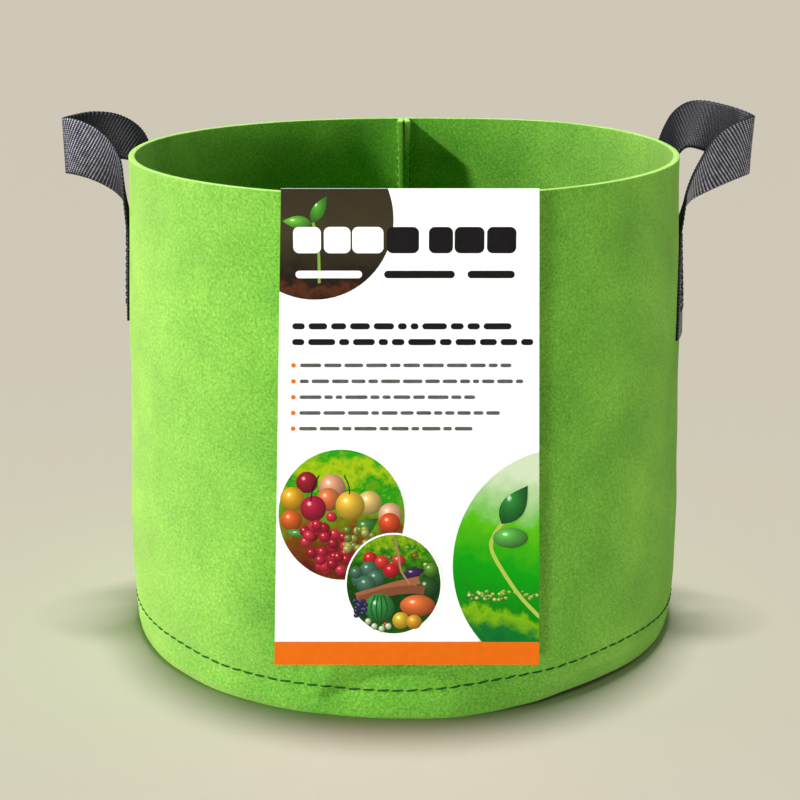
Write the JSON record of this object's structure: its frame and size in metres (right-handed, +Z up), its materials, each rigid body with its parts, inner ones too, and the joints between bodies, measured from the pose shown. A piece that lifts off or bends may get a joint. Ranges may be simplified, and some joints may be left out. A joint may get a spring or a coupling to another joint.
{
  "type": "fabric grow bag",
  "caption": "Round felt planter with a sewn-in base, two webbing side handles that swing and a printed card hooked over the rim.",
  "frame": {"origin": "middle of the base's underside, where the bag rests on the ground", "axes": "+Z up out of the mouth, -Y towards the card at the front, +Y towards the back seam, handles at +X and -X"},
  "size_m": [0.3156, 0.2534, 0.2356],
  "materials": {
    "felt": "needle-punched polyester felt, matt and slightly hairy",
    "webbing": "ribbed polypropylene webbing, low sheen",
    "seam_thread": "twisted polyester sewing thread",
    "webbing_thread": "twisted polyester sewing thread",
    "card": "coated card, printed on the front"
  },
  "bodies": {
    "bag": {"wall_panel": "felt", "base_panel": "felt", "base_seam_thread": "seam_thread", "back_seam_thread": "seam_thread", "left_handle_front_end": "webbing", "left_handle_front_stitching": "webbing_thread", "left_handle_rear_end": "webbing", "left_handle_rear_stitching": "webbing_thread", "right_handle_front_end": "webbing", "right_handle_front_stitching": "webbing_thread", "right_handle_rear_end": "webbing", "right_handle_rear_stitching": "webbing_thread"},
    "right_handle": {"right_handle_loop": "webbing"},
    "left_handle": {"left_handle_loop": "webbing"},
    "card": {"info_card": "card"}
  },
  "joints": [
    {"name": "right_handle_swing", "type": "hinge", "parent": "bag", "child": "right_handle", "pos_m": [0.12791, 0.01119, 0.204], "axis": [-0.0872, 0.9962, 0], "range_deg": [-8, 95]},
    {"name": "left_handle_swing", "type": "hinge", "parent": "bag", "child": "left_handle", "pos_m": [-0.12791, 0.01119, 0.204], "axis": [-0.0872, -0.9962, 0], "range_deg": [-8, 95]},
    {"name": "card_lift", "type": "slide", "parent": "bag", "child": "card", "axis": [0, 0, 1], "range_m": [0, 0.04]}
  ]
}
